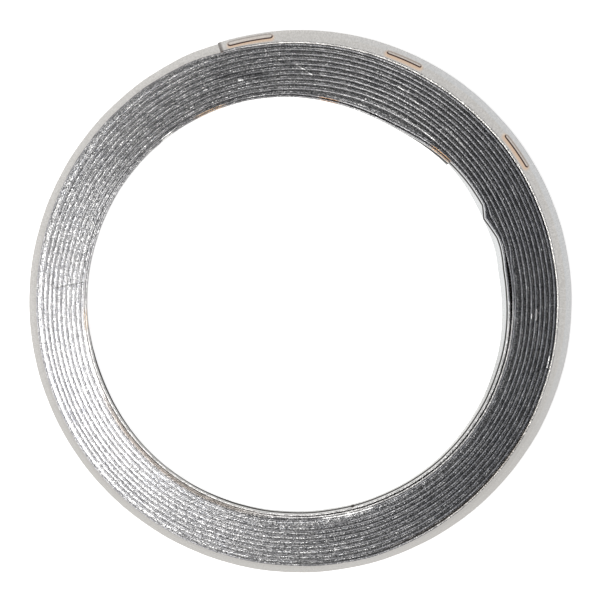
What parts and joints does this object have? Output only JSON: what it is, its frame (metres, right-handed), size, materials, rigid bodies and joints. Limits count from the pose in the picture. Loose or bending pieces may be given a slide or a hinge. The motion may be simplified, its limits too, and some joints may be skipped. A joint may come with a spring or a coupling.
{
  "type": "exhaust manifold gasket",
  "caption": "Spiral-wound exhaust ring gasket: V-section steel strip wound with graphite between its turns, two flat sealing faces and an open round bore.",
  "frame": {"origin": "middle of the ring's outline, in the plane of the lower sealing face", "axes": "+Z along the bore, +X and +Y across the ring; the strip starts 43 degrees round from +X towards +Y"},
  "size_m": [0.0802, 0.0802, 0.005],
  "materials": {
    "strip_steel": "bright rolled strip, tinted brown at the spot welds",
    "filler_graphite": "flaky grey graphite, burnished to a dull shine"
  },
  "bodies": {
    "root": {"metal_strip": "strip_steel", "graphite_filler": "filler_graphite"}
  },
  "joints": []
}
